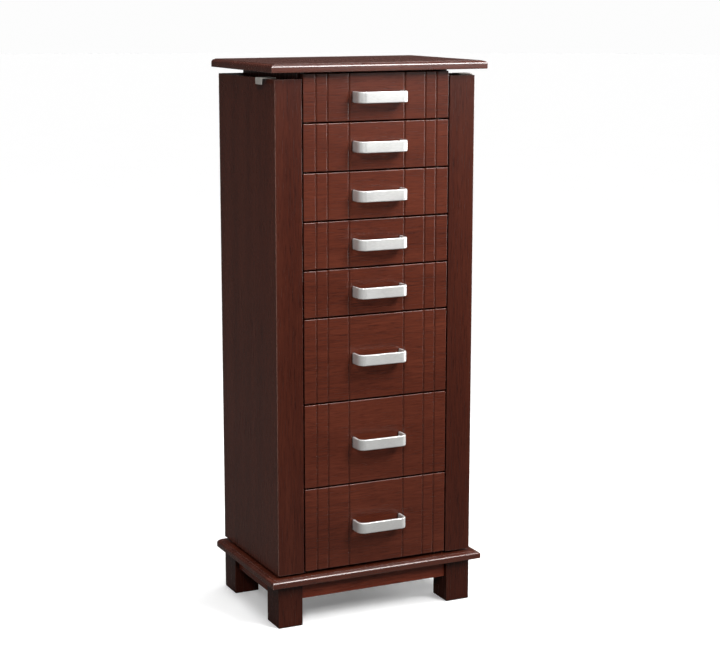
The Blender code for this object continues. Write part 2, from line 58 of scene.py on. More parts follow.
# Drawers
DRAWERS = 8
FRONT_EDGE_RADIUS = 1.5 * MM
GROOVE_PLACES = (0.085, 0.163, 0.308)  # from each edge, as shares of the front's width
GROOVE_DEPTH = 2.2 * MM
GROOVE_LIP = 0.7 * MM
BOX_WALL = 7 * MM
BOX_FLOOR = 4 * MM
LINER_THICKNESS = 1.2 * MM
LINER_EDGE = 0.5 * MM
LINER_RIM = 3 * MM  # bare wood left above a liner

# Pulls
PULL_THICKNESS = 4.5 * MM
PULL_CORNER = 14 * MM
PULL_EDGE = 1.6 * MM

# Moulded edges of the lid and base board
OVOLO_WIDTH = 6.5 * MM  # quarter round above the board's square face
OVOLO_HEIGHT = 5.5 * MM
STEP_LEDGE = 0.8 * MM  # small step between the round and the board's top
STEP_HEIGHT = 0.9 * MM
LOWER_ROUND = 1.2 * MM
LOWER_STEPS = 3
MOULDING_EDGE = 0.3 * MM
ARC_STEPS = 10

# Feet and aprons
FOOT_EDGE = 1.6 * MM
APRON_EDGE = 1.0 * MM

# Doors
DOOR_BOARD = 16 * MM
ARRIS_RADIUS = 1.6 * MM
END_RADIUS = 0.8 * MM
MITRE_LINE = 0.05 * MM
TAB_THICKNESS = 1.8 * MM
TAB_BEND = 2.4 * MM
TAB_EDGE = 0.35 * MM

# Tray
TRAY_WALL = 6 * MM
TRAY_FLOOR = 4 * MM
TRAY_RING_ROW = 84 * MM
TRAY_SMALL_COLUMNS = 3
RING_ROLLS = 6
ROLL_HEIGHT = 17 * MM
ROLL_SIDE_GAP = 1 * MM
ROLL_END = 6 * MM  # length of the drawn-in stretch at each sewn end
ROLL_END_FULLNESS = 0.72  # share of the roll's thickness left at the very end
ROLL_PUCKER = 0.012
ROLL_PUCKER_PHASE = 61  # radians of puckering from end to end
ROLL_AROUND = 28
ROLL_ALONG = 48

# Hinge screws
LEAF_THICKNESS = 1.5 * MM
SCREW_RADIUS = 2.4 * MM
SCREW_RISE = 0.7 * MM
SCREW_SLOT = 0.6 * MM
SCREW_SLOT_REACH = 0.62 * SCREW_RADIUS
SCREW_SLOT_FLOOR = 0.5 * SCREW_RISE
SCREW_AROUND = 20
SCREW_TURN = 0.7  # radians from one screw's slot to the next one's
DOOR_SCREWS = (-20 * MM, 0, 20 * MM)
LID_SCREWS = (-125 * MM, -62.5 * MM, 0, 62.5 * MM, 125 * MM)
LID_LEAF_INSET = 4 * MM  # each inset runs from the leaf's edge away from the knuckles to its screws
DOOR_LEAF_INSET = 5 * MM
CASE_LEAF_INSET = 6 * MM

# Lining cards and mirror
CARD_THICKNESS = 1.2 * MM
CARD_MARGIN = 9 * MM
CARD_EDGE = 0.5 * MM
MIRROR_BEVEL = 9 * MM
MIRROR_BEVEL_DROP = 1.2 * MM
MIRROR_TRIM = 8 * MM
TRIM_PROUD = 0.4 * MM  # of the glass

# Wood tones, from the dark streaks to the light ones, as linear values
CHERRY = ((0.044, 0.0088, 0.0045), (0.078, 0.0165, 0.0082), (0.112, 0.0270, 0.0140))
# The feet: the cherry darkened as painted shade
CHERRY_FOOT_PAINTED_SHADE = ((0.028, 0.0054, 0.0027), (0.052, 0.0104, 0.0052), (0.076, 0.0178, 0.0092))
# The aprons: the cherry lightened as painted light
CHERRY_APRON_PAINTED_LIGHT = ((0.110, 0.0200, 0.0095), (0.185, 0.0350, 0.0165), (0.250, 0.0560, 0.0270))
# The door pilasters: the cherry darkened as painted shade
CHERRY_PILASTER_PAINTED_SHADE = ((0.030, 0.0057, 0.0030), (0.056, 0.0115, 0.0059), (0.082, 0.0195, 0.0103))
CHERRY_FRONT = ((0.050, 0.0098, 0.0050), (0.088, 0.0185, 0.0090), (0.128, 0.0300, 0.0155))
BIRCH = ((0.36, 0.23, 0.13), (0.47, 0.32, 0.19), (0.56, 0.40, 0.25))
TONE_PLACES = (0.28, 0.72)  # the grain values that take the darkest and the lightest tone
# Outward edges: colour and strength of the lightening, partly wear and partly a painted highlight
EDGE_WEAR_AND_HIGHLIGHT_COLOUR = (0.36, 0.22, 0.185)
EDGE_WEAR_AND_HIGHLIGHT = 0.9
EDGE_WIDTH = 1.3 * MM
# How far the painted shade in inward corners and narrow gaps reaches
CORNER_SHADE_REACH = 5 * MM

# Grain patterns: the scale of each, and how much it counts
FIBRE_SCALE, FIBRE_SHARE = 420, 0.66
FIGURE_SCALE, FIGURE_SHARE = 34, 0.26
GROWTH_SCALE, GROWTH_SHARE = 5.5, 0.08
PORE_SCALE, PORE_DEPTH = 760, 0.6
BLOTCH_SCALE, BLOTCH_DEPTH = 5, 0.16

# Linings
CHAMPAGNE = (0.52, 0.41, 0.29)

# Studio
FLOOR_RADIUS = 30.0
FLOOR_GLOW = 0.17
FLOOR_CARD = (0.10, 0.096, 0.092, 1)  # the floor's colour to every ray but the camera's
SURROUND_SEEN = 0.98
SURROUND_LIGHT = 0.06
CAMERA_PLACE = (-1.375, -2.923, 1.1435)
CAMERA_DOWN = 10.65
CAMERA_RIGHT = 25.3
CAMERA_LENS = 87.7
CAMERA_SHIFT = (0.0115, -0.02)

# Grain directions, as the share of the across-grain scale that runs along each axis
ALONG = {"x": (0.05, 1.0, 1.0), "y": (1.0, 0.05, 1.0), "z": (1.0, 1.0, 0.05)}


# ---------------------------------------------------------------- materials


def new_material(name):
    material = bpy.data.materials.new(name)
    material.use_nodes = True
    tree = material.node_tree
    return material, tree, tree.nodes["Principled BSDF"]


def object_place(tree, scale, offset=(0, 0, 0)):
    coordinates = tree.nodes.new("ShaderNodeTexCoord")
    mapping = tree.nodes.new("ShaderNodeMapping")
    mapping.inputs["Scale"].default_value = scale
    mapping.inputs["Location"].default_value = offset
    tree.links.new(coordinates.outputs["Object"], mapping.inputs["Vector"])
    return mapping.outputs["Vector"]


def noise(tree, place, scale, detail=3.0, roughness=0.5, distortion=0.0):
    node = tree.nodes.new("ShaderNodeTexNoise")
    node.inputs["Scale"].default_value = scale
    node.inputs["Detail"].default_value = detail
    node.inputs["Roughness"].default_value = roughness
    node.inputs["Distortion"].default_value = distortion
    tree.links.new(place, node.inputs["Vector"])
    return node.outputs["Fac"]


def rings(tree, place, scale, distortion):
    node = tree.nodes.new("ShaderNodeTexWave")
    node.wave_type = "RINGS"
    node.rings_direction = "SPHERICAL"
    node.inputs["Scale"].default_value = scale
    node.inputs["Distortion"].default_value = distortion
    node.inputs["Detail"].default_value = 3.0
    node.inputs["Detail Scale"].default_value = 1.6
    tree.links.new(place, node.inputs["Vector"])
    return node.outputs["Fac"]


def maths(tree, operation, first, second, third=None):
    node = tree.nodes.new("ShaderNodeMath")
    node.operation = operation
    for socket, value in zip(node.inputs, (first, second, third)):
        if isinstance(value, bpy.types.NodeSocket):
            tree.links.new(value, socket)
        elif value is not None:
            socket.default_value = value
    return node.outputs["Value"]


def spread(tree, value, low, high, to_low=0.0, to_high=1.0):
    """Maps low..high to to_low..to_high, and holds it there."""
    node = tree.nodes.new("ShaderNodeMapRange")
    node.interpolation_type = "SMOOTHSTEP"
    tree.links.new(value, node.inputs["Value"])
    node.inputs["From Min"].default_value = low
    node.inputs["From Max"].default_value = high
    node.inputs["To Min"].default_value = to_low
    node.inputs["To Max"].default_value = to_high
    return node.outputs["Result"]


def ramp(tree, value, colours):
    node = tree.nodes.new("ShaderNodeValToRGB")
    stops = node.color_ramp.elements
    darkest, lightest = TONE_PLACES
    for index, colour in enumerate(colours):
        place = darkest + (lightest - darkest) * index / (len(colours) - 1)
        stop = stops[index] if index < 2 else stops.new(place)
        stop.position = place
        stop.color = (*colour, 1.0)
    tree.links.new(value, node.inputs["Fac"])
    return node.outputs["Color"]


def mix(tree, blend, factor, first, second):
    node = tree.nodes.new("ShaderNodeMix")
    node.data_type = "RGBA"
    node.blend_type = blend
    for socket, value in zip((node.inputs[0], node.inputs[6], node.inputs[7]), (factor, first, second)):
        if isinstance(value, bpy.types.NodeSocket):
            tree.links.new(value, socket)
        else:
            socket.default_value = value
    return node.outputs[2]


def bump(tree, shader, height, distance, strength=1.0):
    node = tree.nodes.new("ShaderNodeBump")
    node.inputs["Strength"].default_value = strength
    node.inputs["Distance"].default_value = distance
    tree.links.new(height, node.inputs["Height"])
    tree.links.new(node.outputs["Normal"], shader.inputs["Normal"])


def edge_masks(tree, radius):
    """Two masks: 1 along outward edges, for wear and a painted highlight, and 1 in inward corners and narrow
    gaps, for painted shade.
    """
    softened = tree.nodes.new("ShaderNodeBevel")
    softened.samples = 4
    softened.inputs["Radius"].default_value = radius
    plain = tree.nodes.new("ShaderNodeNewGeometry")
    dot = tree.nodes.new("ShaderNodeVectorMath")
    dot.operation = "DOT_PRODUCT"
    tree.links.new(softened.outputs["Normal"], dot.inputs[0])
    tree.links.new(plain.outputs["Normal"], dot.inputs[1])
    closeness = tree.nodes.new("ShaderNodeAmbientOcclusion")
    closeness.samples = 6
    closeness.inputs["Distance"].default_value = CORNER_SHADE_REACH
    opened = closeness.outputs["AO"]
    turned = spread(tree, dot.outputs["Value"], 0.99, 0.86)
    edge_wear_and_highlight_mask = maths(tree, "MULTIPLY", turned, spread(tree, opened, 0.7, 0.95))
    return edge_wear_and_highlight_mask, spread(tree, opened, 0.85, 0.35)


def wood(name, along, tones, number, edge_wear_highlight_and_shade=True, varnish=0.4):
    """Stained board: fine fibres, a broader figure, faint growth rings, short dark pores and blotches."""
    material, tree, shader = new_material(name)
    stretch = ALONG[along]
    offset = (number * 1.37, number * 2.11, number * 0.73)
    place = object_place(tree, stretch, offset)
    fibres = noise(tree, place, FIBRE_SCALE, detail=6, roughness=0.62)
    figure = noise(tree, place, FIGURE_SCALE, detail=4, roughness=0.55, distortion=0.5)
    growth = rings(tree, place, GROWTH_SCALE, distortion=5.0)
    value = maths(tree, "MULTIPLY_ADD", fibres, FIBRE_SHARE, 0.0)
    value = maths(tree, "MULTIPLY_ADD", figure, FIGURE_SHARE, value)
    value = maths(tree, "MULTIPLY_ADD", growth, GROWTH_SHARE, value)
    colour = ramp(tree, value, tones)
    pores = spread(tree, noise(tree, place, PORE_SCALE, detail=2), 0.56, 0.68)
    unstretched = object_place(tree, (1, 1, 1), offset)
    blotches = spread(tree, noise(tree, unstretched, BLOTCH_SCALE, detail=2), 0.3, 0.7)
    pitting = maths(tree, "MULTIPLY", pores, PORE_DEPTH)
    colour = mix(tree, "MULTIPLY", pitting, colour, (0.35, 0.28, 0.25, 1))
    clouding = maths(tree, "MULTIPLY", blotches, BLOTCH_DEPTH)
    colour = mix(tree, "MULTIPLY", clouding, colour, (0.5, 0.45, 0.42, 1))
    if edge_wear_highlight_and_shade:
        # Outward edges are lightened as wear and a painted highlight; inward corners and narrow gaps are
        # darkened as painted shade
        edge_wear_and_highlight_mask, painted_corner_shade = edge_masks(tree, EDGE_WIDTH)
        edge_wear_and_highlight = maths(tree, "MULTIPLY", edge_wear_and_highlight_mask, spread(tree, figure, 0.3, 0.7, EDGE_WEAR_AND_HIGHLIGHT * 0.8, EDGE_WEAR_AND_HIGHLIGHT))
        colour = mix(tree, "MIX", edge_wear_and_highlight, colour, (*EDGE_WEAR_AND_HIGHLIGHT_COLOUR, 1))
        # Painted shade: the colour is darkened in inward corners and narrow gaps
        colour = mix(tree, "MULTIPLY", painted_corner_shade, colour, (0.25, 0.2, 0.2, 1))
    tree.links.new(colour, shader.inputs["Base Color"])
    tree.links.new(spread(tree, fibres, 0.3, 0.7, 0.28, 0.22), shader.inputs["Roughness"])
    shader.inputs["Specular IOR Level"].default_value = varnish
    height = maths(tree, "MULTIPLY_ADD", pores, -0.6, fibres)
    bump(tree, shader, height, 0.12 * MM, 0.5)
    return material


def felt(name, colour, number):
    """Short flocked pile."""
    material, tree, shader = new_material(name)
    offset = (number * 0.91, number * 1.7, number * 0.4)
    place = object_place(tree, (1, 1, 1), offset)
    pile = noise(tree, place, 2600, detail=3, roughness=0.7)
    brushed = noise(tree, place, 28, detail=3, roughness=0.6)
    darker = (*(part * 0.72 for part in colour), 1)
    shade = mix(tree, "MIX", spread(tree, pile, 0.3, 0.7), darker, (*colour, 1))
    shade = mix(tree, "MULTIPLY", maths(tree, "MULTIPLY", brushed, 0.22), shade, (0.7, 0.68, 0.66, 1))
    tree.links.new(shade, shader.inputs["Base Color"])
    tree.links.new(spread(tree, brushed, 0.3, 0.7, 0.85, 0.97), shader.inputs["Roughness"])
    shader.inputs["Sheen Weight"].default_value = 0.5
    shader.inputs["Sheen Roughness"].default_value = 0.4
    bump(tree, shader, pile, 0.25 * MM, 0.7)
    return material


def satin_metal(name, colour, along, roughness, number, metallic=1.0):
    """Brushed along one axis, with broad handling marks in the gloss."""
    material, tree, shader = new_material(name)
    offset = (number * 0.6, number * 1.3, number * 0.9)
    place = object_place(tree, ALONG[along], offset)
    lines = noise(tree, place, 2200, detail=3, roughness=0.6)
    marks = noise(tree, object_place(tree, (1, 1, 1), offset), 45, detail=3)
    dull = (*(part * 0.86 for part in colour), 1)
    shade = mix(tree, "MIX", spread(tree, lines, 0.35, 0.65), dull, (*colour, 1))
    tree.links.new(shade, shader.inputs["Base Color"])
    gloss = spread(tree, marks, 0.3, 0.7, roughness - 0.06, roughness + 0.06)
    tree.links.new(gloss, shader.inputs["Roughness"])
    shader.inputs["Metallic"].default_value = metallic
    bump(tree, shader, lines, 0.03 * MM, 0.4)
    return material


def black_plastic(name):
    material, tree, shader = new_material(name)
    grain = noise(tree, object_place(tree, (1, 1, 1)), 1500, detail=2)
    shade = mix(tree, "MIX", grain, (0.012, 0.012, 0.013, 1), (0.03, 0.03, 0.03, 1))
    tree.links.new(shade, shader.inputs["Base Color"])
    tree.links.new(spread(tree, grain, 0.3, 0.7, 0.45, 0.6), shader.inputs["Roughness"])
    bump(tree, shader, grain, 0.1 * MM, 0.5)
    return material


def silvered_glass(name):
    material, tree, shader = new_material(name)
    smears = noise(tree, object_place(tree, (1, 3, 1)), 14, detail=4)
    shade = mix(tree, "MIX", smears, (0.86, 0.89, 0.89, 1), (0.92, 0.94, 0.94, 1))
    tree.links.new(shade, shader.inputs["Base Color"])
    tree.links.new(spread(tree, smears, 0.45, 0.8, 0.015, 0.06), shader.inputs["Roughness"])
    shader.inputs["Metallic"].default_value = 1.0
    return material


def studio_floor(name):
    """Pale and faintly glowing to the camera, and dark grey to every other ray, so that it throws little
    light back up at the varnish."""
    material, tree, shader = new_material(name)
    grain = noise(tree, object_place(tree, (1, 1, 1)), 3, detail=3)
    pale = mix(tree, "MIX", grain, (0.95, 0.95, 0.95, 1), (0.98, 0.98, 0.98, 1))
    path = tree.nodes.new("ShaderNodeLightPath")
    seen = mix(tree, "MIX", path.outputs["Is Camera Ray"], FLOOR_CARD, pale)
    tree.links.new(seen, shader.inputs["Base Color"])
    shader.inputs["Emission Color"].default_value = (1, 1, 1, 1)
    glow = maths(tree, "MULTIPLY", path.outputs["Is Camera Ray"], FLOOR_GLOW)
    tree.links.new(glow, shader.inputs["Emission Strength"])
    tree.links.new(spread(tree, grain, 0.3, 0.7, 0.7, 0.8), shader.inputs["Roughness"])
    shader.inputs["Specular IOR Level"].default_value = 0.0
    return material


MATERIALS = {
    "felt": felt("champagne_felt", CHAMPAGNE, 1),
    "velvet": felt("champagne_velvet", tuple(part * 0.85 for part in CHAMPAGNE), 2),
    "pull": satin_metal("satin_pull_metal", (0.80, 0.80, 0.785), "x", 0.38, 3, metallic=0.55),
    "steel": satin_metal("folded_steel", (0.74, 0.71, 0.66), "y", 0.45, 4, metallic=0.5),
    "nickel": satin_metal("satin_nickel", (0.60, 0.57, 0.53), "z", 0.30, 5),
    "screw": satin_metal("screw_steel", (0.55, 0.53, 0.50), "x", 0.28, 6),
    "plastic": black_plastic("catch_plastic"),
    "mirror": silvered_glass("silvered_mirror"),
}
BOARD_NUMBER = iter(range(1, 200))


def board_material(name, along, tones=CHERRY, edge_wear_highlight_and_shade=True, varnish=0.4):
    """Each board is cut from its own stretch of the same wood."""
    return wood(f"{name}_wood", along, tones, next(BOARD_NUMBER), edge_wear_highlight_and_shade, varnish)


# ---------------------------------------------------------------- pieces


def finished(obj, body, material, slot, *nodes):
    """Puts a piece in the scene, on its body, in its material, in place of the CAD nodes named."""
    if obj.name not in bpy.context.scene.collection.objects:
        bpy.context.scene.collection.objects.link(obj)
    obj.data.materials.clear()
    obj.data.materials.append(material)
    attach(obj, body)
    if nodes:
        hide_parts(*nodes)
    return obj


def mesh_piece(name, bm):
    bmesh.ops.recalc_face_normals(bm, faces=bm.faces)
    mesh = bpy.data.meshes.new(name)
    bm.to_mesh(mesh)
    bm.free()
    return bpy.data.objects.new(name, mesh)


def soften(obj, width, segments, over=40, name="soft_edges"):
    bevel = obj.modifiers.new(name, "BEVEL")
    bevel.width = width
    bevel.segments = segments
    bevel.limit_method = "ANGLE"
    bevel.angle_limit = math.radians(over)


def shade_smooth(obj):
    for face in obj.data.polygons:
        face.use_smooth = True
    normals = obj.modifiers.new("even_shading", "WEIGHTED_NORMAL")
    normals.keep_sharp = True
    return obj


def add_block(bm, low, high):
    low, high = Vector(low), Vector(high)
    cube = bmesh.ops.create_cube(bm, size=1.0)
    bmesh.ops.scale(bm, vec=high - low, verts=cube["verts"])
    bmesh.ops.translate(bm, vec=(low + high) / 2, verts=cube["verts"])
    return cube["verts"]


def rounded_block(name, low, high, radius, segments=3):
    bm = bmesh.new()
    add_block(bm, low, high)
    obj = mesh_piece(name, bm)
    soften(obj, radius, segments)
    return shade_smooth(obj)


def rounded(corners, radius, steps=ARC_STEPS):
    """An open path through right-angled corners, with each inner corner rounded."""
    path = [Vector(corners[0])]
    for before, here, after in zip(corners, corners[1:], corners[2:]):
        here = Vector(here)
        back = (Vector(before) - here).normalized()
        ahead = (Vector(after) - here).normalized()
        centre = here + (back + ahead) * radius
        for step in range(steps + 1):
            turn = QUARTER * step / steps
            path.append(centre - ahead * radius * math.cos(turn) - back * radius * math.sin(turn))
    path.append(Vector(corners[-1]))
    return path


def bent_strip(name, path, thickness, reach, place, edge):
    """A strip that follows a path and is as wide as reach; place turns a path point and a distance across
    into xyz."""
    bm = bmesh.new()
    near = [bm.verts.new(place(point, 0.0)) for point in path]
    far = [bm.verts.new(place(point, reach)) for point in path]
    for index in range(len(path) - 1):
        bm.faces.new((near[index], near[index + 1], far[index + 1], far[index]))
    obj = mesh_piece(name, bm)
    solid = obj.modifiers.new("thickness", "SOLIDIFY")
    solid.thickness = thickness
    solid.offset = 0.0
    solid.use_even_offset = True
    soften(obj, edge, 3)
    return shade_smooth(obj)


def slot_of(node):
    for part in frame["record"]["subparts"]:
        if part["node"] == node:
            return part["material_slot"]
    raise KeyError(node)


def keep_cad(node, material):
    """Shows a CAD node as it is, in a material of this script's."""
    obj = frame["nodes"][node]
    obj.data.materials.clear()
    obj.data.materials.append(material)


# ---------------------------------------------------------------- case


def edge_profile(thickness):
    """(inset, height) up a moulded edge: rounded lower corner, square face, quarter round, step."""
    round_top = thickness - STEP_HEIGHT
    profile = []
    for step in range(LOWER_STEPS + 1):
        turn = QUARTER * step / LOWER_STEPS
        profile.append((LOWER_ROUND * (1 - math.sin(turn)), LOWER_ROUND * (1 - math.cos(turn))))
    for step in range(ARC_STEPS + 1):
        turn = QUARTER * step / ARC_STEPS
        inset = OVOLO_WIDTH * (1 - math.cos(turn))
        profile.append((inset, round_top - OVOLO_HEIGHT * (1 - math.sin(turn))))
    profile.append((OVOLO_WIDTH + STEP_LEDGE, round_top))
    profile.append((OVOLO_WIDTH + STEP_LEDGE, thickness))
    return profile


def moulded_board(node, body):
    """The moulding runs along the front and both sides, with mitred corners; the back edge is plain."""
    low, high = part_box(node)
    bm = bmesh.new()
    bmesh.ops.create_grid(bm, x_segments=1, y_segments=1, size=0.5)
    middle = (low.y + high.y) / 2

    def set_ring(verts, inset, height):
        for vert in verts:
            at_front = vert.co.y < middle
            side = math.copysign(1, vert.co.x)
            vert.co = (side * (high.x - inset), low.y + inset if at_front else high.y, low.z + height)

    for vert in bm.verts:
        vert.co.y += middle
    bottom_face = top_face = bm.faces[:][0]
    (inset, height), *rest = edge_profile(high.z - low.z)
    set_ring(top_face.verts, inset, height)
    for inset, height in rest:
        raised = bmesh.ops.extrude_face_region(bm, geom=[top_face])
        if top_face != bottom_face:
            bmesh.ops.delete(bm, geom=[top_face], context="FACES_ONLY")
        top_face = [part for part in raised["geom"] if isinstance(part, bmesh.types.BMFace)][0]
        set_ring(top_face.verts, inset, height)
    board = mesh_piece(f"moulded_{node}", bm)
    soften(board, MOULDING_EDGE, 2, over=50)
    shade_smooth(board)
    finished(board, body, board_material(node, "x", varnish=1.0), slot_of(node), node)


def make_feet_and_aprons():
    for node in frame["nodes"]:
        if node.startswith("foot_"):
            foot = rounded_block(f"block_{node}", *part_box(node), FOOT_EDGE)
            # Painted shade: the feet take a darker copy of the cherry
            finished(foot, "case", board_material(node, "z", CHERRY_FOOT_PAINTED_SHADE), "cherry", node)
        if node.startswith("apron_"):
            apron = rounded_block(f"board_{node}", *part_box(node), APRON_EDGE)
            along = "x" if node == "apron_front" else "y"
            # Painted light: the aprons take a lighter copy of the cherry
            finished(apron, "case", board_material(node, along, CHERRY_APRON_PAINTED_LIGHT), "cherry", node)


def ring_roll(number, low, high):
    """A stuffed roll for rings: round on top, flat where it rests, drawn in towards its sewn ends."""
    length = high.x - low.x
    middle = (low.y + high.y) / 2
    half_width = (high.y - low.y) / 2
    bm = bmesh.new()
    rings_made = []
    for station in range(ROLL_ALONG + 1):
        along = station / ROLL_ALONG
        from_end = min(along, 1 - along) * length
        rise = min(1.0, from_end / ROLL_END)
        fullness = ROLL_END_FULLNESS + (1 - ROLL_END_FULLNESS) * math.sqrt(rise * (2 - rise))
        pucker = 1 + ROLL_PUCKER * math.sin(along * ROLL_PUCKER_PHASE + number)
        ring = []
        for index in range(ROLL_AROUND):
            turn = 4 * QUARTER * index / ROLL_AROUND
            across = half_width * fullness * math.cos(turn)
            up = ROLL_HEIGHT / 2 * (1 + fullness * pucker * math.sin(turn))
            ring.append(bm.verts.new((low.x + along * length, middle + across, low.z + max(0.0, up))))
        rings_made.append(ring)
    for first, second in zip(rings_made, rings_made[1:]):
        for index in range(ROLL_AROUND):
            after = (index + 1) % ROLL_AROUND
            bm.faces.new((first[index], first[after], second[after], second[index]))
    bm.faces.new(rings_made[0])
    bm.faces.new(rings_made[-1])
    roll = mesh_piece(f"ring_roll_{number}", bm)
    shade_smooth(roll)
    finished(roll, "case", MATERIALS["velvet"], "birch")


def make_tray_inside():
    """Ring rolls in the front row, and a flocked liner in each small pocket."""
    low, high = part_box("top_tray")
    floor = low.z + TRAY_FLOOR + GAP
    row_front = low.y + TRAY_WALL + GAP
    row_back = row_front + TRAY_RING_ROW - 2 * GAP
    pitch = (row_back - row_front) / RING_ROLLS
    for number in range(RING_ROLLS):
        near = row_front + number * pitch
        roll_low = Vector((low.x + TRAY_WALL + ROLL_SIDE_GAP, near, floor))
        right = high.x - TRAY_WALL - ROLL_SIDE_GAP
        roll_high = Vector((right, near + pitch - GAP, floor + ROLL_HEIGHT))
        ring_roll(number + 1, roll_low, roll_high)
    column = (high.x - low.x - TRAY_WALL) / TRAY_SMALL_COLUMNS
    for number in range(TRAY_SMALL_COLUMNS):
        left = low.x + TRAY_WALL + number * column + GAP
        pocket_low = Vector((left, low.y + 2 * TRAY_WALL + TRAY_RING_ROW + GAP, floor))
        right = left + column - TRAY_WALL - 2 * GAP
        pocket_high = Vector((right, high.y - TRAY_WALL - GAP, high.z - LINER_RIM))
        shell = liner(f"tray_liner_{number + 1}", pocket_low, pocket_high)
        finished(shell, "case", MATERIALS["felt"], "birch")


def make_case():
    moulded_board("base_board", "case")
    for side in ("left", "right"):
        keep_cad(f"case_wall_{side}", board_material(f"case_wall_{side}", "z"))
        keep_cad(f"runner_ladder_{side}", board_material(f"runner_ladder_{side}", "z", BIRCH, False))
        keep_cad(f"door_catch_{side}", MATERIALS["plastic"])
    keep_cad("back_board", board_material("back_board", "z"))
    keep_cad("top_tray", board_material("top_tray", "x", BIRCH, False))
    make_tray_inside()


# ---------------------------------------------------------------- drawers


def groove_bars(low, high):
    """Square bars on edge, whose corners plough the V-grooves."""
    bm = bmesh.new()
    width = high.x - low.x
    for share in GROOVE_PLACES:
        for side in (-1, 1):
            bar = bmesh.ops.create_cone(
                bm,
                cap_ends=True,
                segments=4,
                radius1=GROOVE_DEPTH,
                radius2=GROOVE_DEPTH,
                depth=2 * (high.z - low.z),
            )
            across = side * (0.5 - share) * width
            bmesh.ops.translate(bm, vec=(across, low.y, (low.z + high.z) / 2), verts=bar["verts"])
    cutter = mesh_piece("groove_bars", bm)
    bpy.context.scene.collection.objects.link(cutter)
    return cutter


def applied(obj):
    """Makes the object's modified shape its mesh, and clears the modifiers."""
    depsgraph = bpy.context.evaluated_depsgraph_get()
    mesh = bpy.data.meshes.new_from_object(obj.evaluated_get(depsgraph))
    obj.modifiers.clear()
    obj.data = mesh


def make_drawer_front(number):
    node = f"drawer_{number}_front"
    low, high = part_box(node)
    bm = bmesh.new()
    add_block(bm, low, high)
    front = mesh_piece(f"grooved_{node}", bm)
    bpy.context.scene.collection.objects.link(front)
    soften(front, FRONT_EDGE_RADIUS, 4)
    cutter = groove_bars(low, high)
    cut = front.modifiers.new("grooves", "BOOLEAN")
    cut.object = cutter
    cut.solver = "EXACT"
    soften(front, GROOVE_LIP, 2, over=38, name="groove_lips")
    applied(front)
    bpy.data.objects.remove(cutter)
    shade_smooth(front)
    finished(front, f"drawer_{number}", board_material(node, "x", CHERRY_FRONT), "cherry_front", node)


def make_pull(number):
    node = f"drawer_{number}_pull"
    low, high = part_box(node)
    half = PULL_THICKNESS / 2
    corners = [
        (low.x + half, high.y),
        (low.x + half, low.y + half),
        (high.x - half, low.y + half),
        (high.x - half, high.y),
    ]
    path = rounded(corners, PULL_CORNER - half)
    height = high.z - low.z
    pull = bent_strip(
        f"band_{node}",
        path,
        PULL_THICKNESS,
        height,
        lambda point, across: (point.x, point.y, low.z + across),
        PULL_EDGE,
    )
    finished(pull, f"drawer_{number}", MATERIALS["pull"], "pull_metal", node)


def liner(name, low, high):
    """An open-topped flocked liner of one thickness."""
    size = high - low
    bm = bmesh.new()
    add_block(bm, low, high)
    top = max(bm.faces, key=lambda face: face.calc_center_median().z)
    bmesh.ops.inset_region(bm, faces=[top], thickness=LINER_THICKNESS)
    sunk = bmesh.ops.extrude_face_region(bm, geom=[top])
    bmesh.ops.delete(bm, geom=[top], context="FACES_ONLY")
    verts = [part for part in sunk["geom"] if isinstance(part, bmesh.types.BMVert)]
    bmesh.ops.translate(bm, vec=(0, 0, LINER_THICKNESS - size.z), verts=verts)
    shell = mesh_piece(name, bm)
    soften(shell, LINER_EDGE, 2)
    return shade_smooth(shell)


def make_drawer_inside(number):
    node = f"drawer_{number}_box"
    keep_cad(node, board_material(node, "y", BIRCH, False))
    low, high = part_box(node)
    side = BOX_WALL + GAP
    inner_low = low + Vector((side, side, BOX_FLOOR + GAP))
    inner_high = high - Vector((side, side, LINER_RIM))
    shell = liner(f"drawer_{number}_liner", inner_low, inner_high)
    finished(shell, f"drawer_{number}", MATERIALS["felt"], "birch")


# ---------------------------------------------------------------- doors


def outline_board(name, outline, bottom, top):
    """A board with this plan, and its two ends' edges rounded."""
    bm = bmesh.new()
    ring = [bm.verts.new((across, along, bottom)) for across, along in outline]
    face = bm.faces.new(ring)
    raised = bmesh.ops.extrude_face_region(bm, geom=[face])
    verts = [part for part in raised["geom"] if isinstance(part, bmesh.types.BMVert)]
    bmesh.ops.translate(bm, vec=(0, 0, top - bottom), verts=verts)
    ends = [edge for edge in bm.edges if abs(edge.verts[0].co.z - edge.verts[1].co.z) < SAME_PLACE]
    bmesh.ops.bevel(bm, geom=ends, offset=END_RADIUS, segments=3, profile=0.5, affect="EDGES")
    return shade_smooth(mesh_piece(name, bm))


def arc(centre, radius, first, last, steps=6):
    """Points on a circle, between two angles in degrees."""
    points = []
    for step in range(steps + 1):
        turn = math.radians(first + (last - first) * step / steps)
        points.append((centre[0] + radius * math.cos(turn), centre[1] + radius * math.sin(turn)))
    return points


